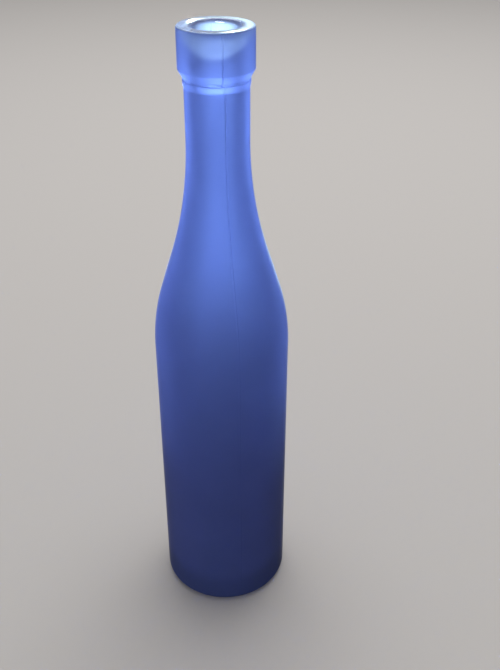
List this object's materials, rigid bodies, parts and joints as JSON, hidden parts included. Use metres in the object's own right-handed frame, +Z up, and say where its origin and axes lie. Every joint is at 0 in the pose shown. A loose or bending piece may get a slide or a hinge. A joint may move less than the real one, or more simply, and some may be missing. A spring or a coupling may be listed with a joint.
{
  "type": "glass bottle",
  "caption": "Slim round frosted blue glass bottle with a long sloping shoulder, a straight neck and a thick flat-topped collar mouth for a cork.",
  "frame": {"origin": "centre of the base, on the surface that the bottle stands on", "axes": "+Z up along the bottle's axis, -Y to the front, where one mould line of each pair runs a little right of centre"},
  "size_m": [0.06, 0.06, 0.2745],
  "materials": {
    "frosted_glass": "thin frosted blue coat outside, clear glass inside and on the rim"
  },
  "bodies": {
    "root": {"bottle": "frosted_glass"}
  },
  "joints": []
}
